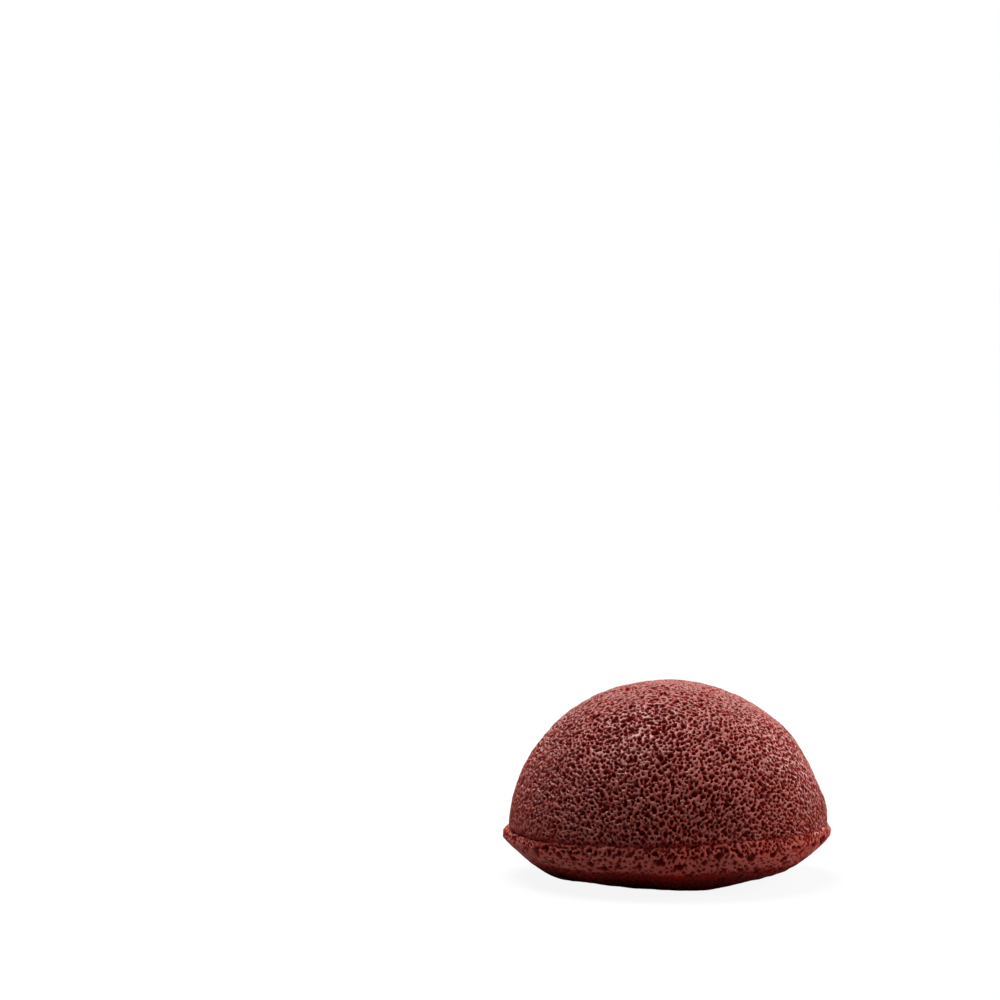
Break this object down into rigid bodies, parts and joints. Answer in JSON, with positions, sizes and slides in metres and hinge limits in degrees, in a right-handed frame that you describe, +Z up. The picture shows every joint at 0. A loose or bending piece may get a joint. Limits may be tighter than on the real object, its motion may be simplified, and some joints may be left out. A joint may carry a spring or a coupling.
{
  "type": "konjac sponge",
  "caption": "Half-ball konjac facial sponge: a fine-pored foam dome seated on a coarser saucer-shaped foam base with a rounded lip at the seam, squeezed by hand to wash the face.",
  "frame": {"origin": "centre of the flat foot that the sponge rests on", "axes": "+Z up through the crown of the dome, along the axis that the sponge is round about; +X to the viewer's right and +Y away from the viewer in the picture's view"},
  "size_m": [0.08, 0.08, 0.048],
  "materials": {
    "base_foam": "moist coarse-pored vegetable-root foam, deep clay red, with a smoother skin between the pores",
    "dome_foam": "moist fine-pored vegetable-root foam, clay red, with a soft sheen on the ridges between the pores"
  },
  "bodies": {
    "base": {"foam_base": "base_foam"},
    "dome": {"foam_dome": "dome_foam"}
  },
  "joints": [
    {"name": "squeeze", "type": "slide", "parent": "base", "child": "dome", "axis": [0, 0, -1], "range_m": [0, 0.011], "stiffness_N_per_m": 300, "deforming": ["foam_dome"]}
  ]
}
